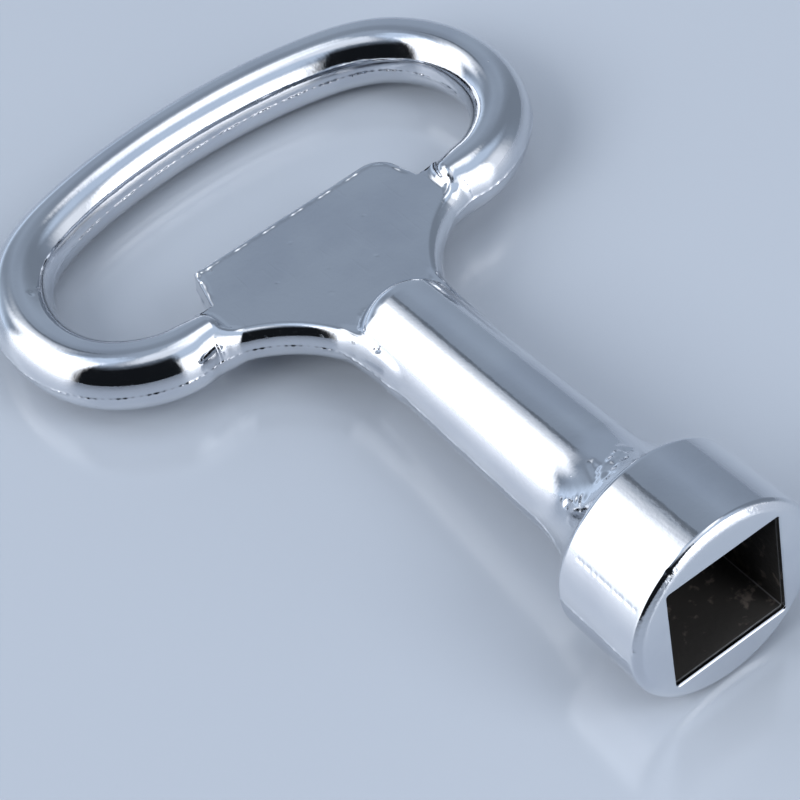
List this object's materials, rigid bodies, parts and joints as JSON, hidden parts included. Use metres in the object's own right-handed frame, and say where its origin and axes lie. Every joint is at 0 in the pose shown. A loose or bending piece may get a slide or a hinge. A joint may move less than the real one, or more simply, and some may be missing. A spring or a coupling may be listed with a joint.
{
  "type": "square socket bow key",
  "caption": "Die-cast bow key with a D-shaped finger loop, flat web, round shank and a round head with a blind square socket.",
  "frame": {"origin": "centre of the key's bounding box, on the shank's axis", "axes": "+X along the shank and out of the socket, +Y across the bow, +Z square to the flat web"},
  "size_m": [0.068, 0.0468, 0.0164],
  "materials": {
    "bright_chrome": "bright chrome plate on a zinc die casting, glossy, with faint casting marks"
  },
  "bodies": {
    "root": {"bow_grip_bar": "bright_chrome", "bow_turn_left": "bright_chrome", "bow_turn_right": "bright_chrome", "bow_arm_left": "bright_chrome", "bow_arm_right": "bright_chrome", "web_plate": "bright_chrome", "shank": "bright_chrome", "socket_head": "bright_chrome"}
  },
  "joints": []
}
